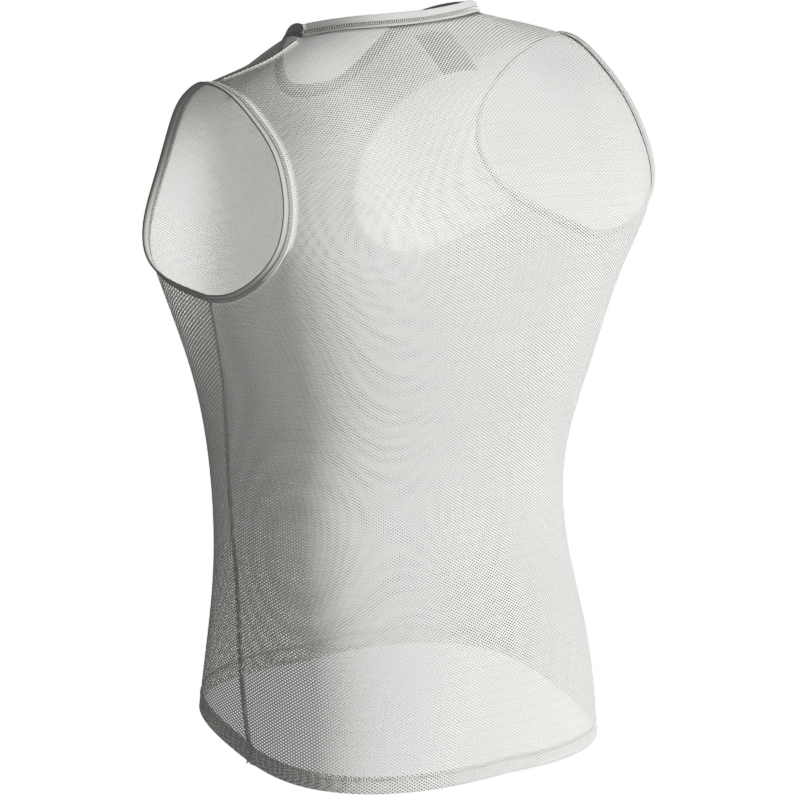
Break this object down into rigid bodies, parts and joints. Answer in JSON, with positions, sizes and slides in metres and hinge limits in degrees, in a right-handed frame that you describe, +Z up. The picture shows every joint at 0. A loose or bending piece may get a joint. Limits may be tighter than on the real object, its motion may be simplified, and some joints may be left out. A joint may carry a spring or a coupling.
{
  "type": "sleeveless base layer",
  "caption": "Sleeveless net base layer, hollow as it is worn: front and back panels with a dropped tail, folded neck and armhole strips, turned-up hem and a plain patch inside the back neck.",
  "frame": {"origin": "on the centre plane between the two shoulder seams, where the wearer's shoulders hold the garment up", "axes": "+Z up, -Y the way the wearer faces, +X the wearer's left"},
  "size_m": [0.4522, 0.2446, 0.6124],
  "materials": {
    "net": "sheer knitted net with many small holes, matt",
    "strip": "plain soft knit, folded and cover-stitched, matt",
    "patch": "plain dark woven tape, matt"
  },
  "bodies": {
    "root": {"back_panel": "net", "front_panel": "net", "neck_binding": "strip", "armhole_binding_left": "strip", "armhole_binding_right": "strip", "neck_patch": "patch"}
  },
  "joints": []
}
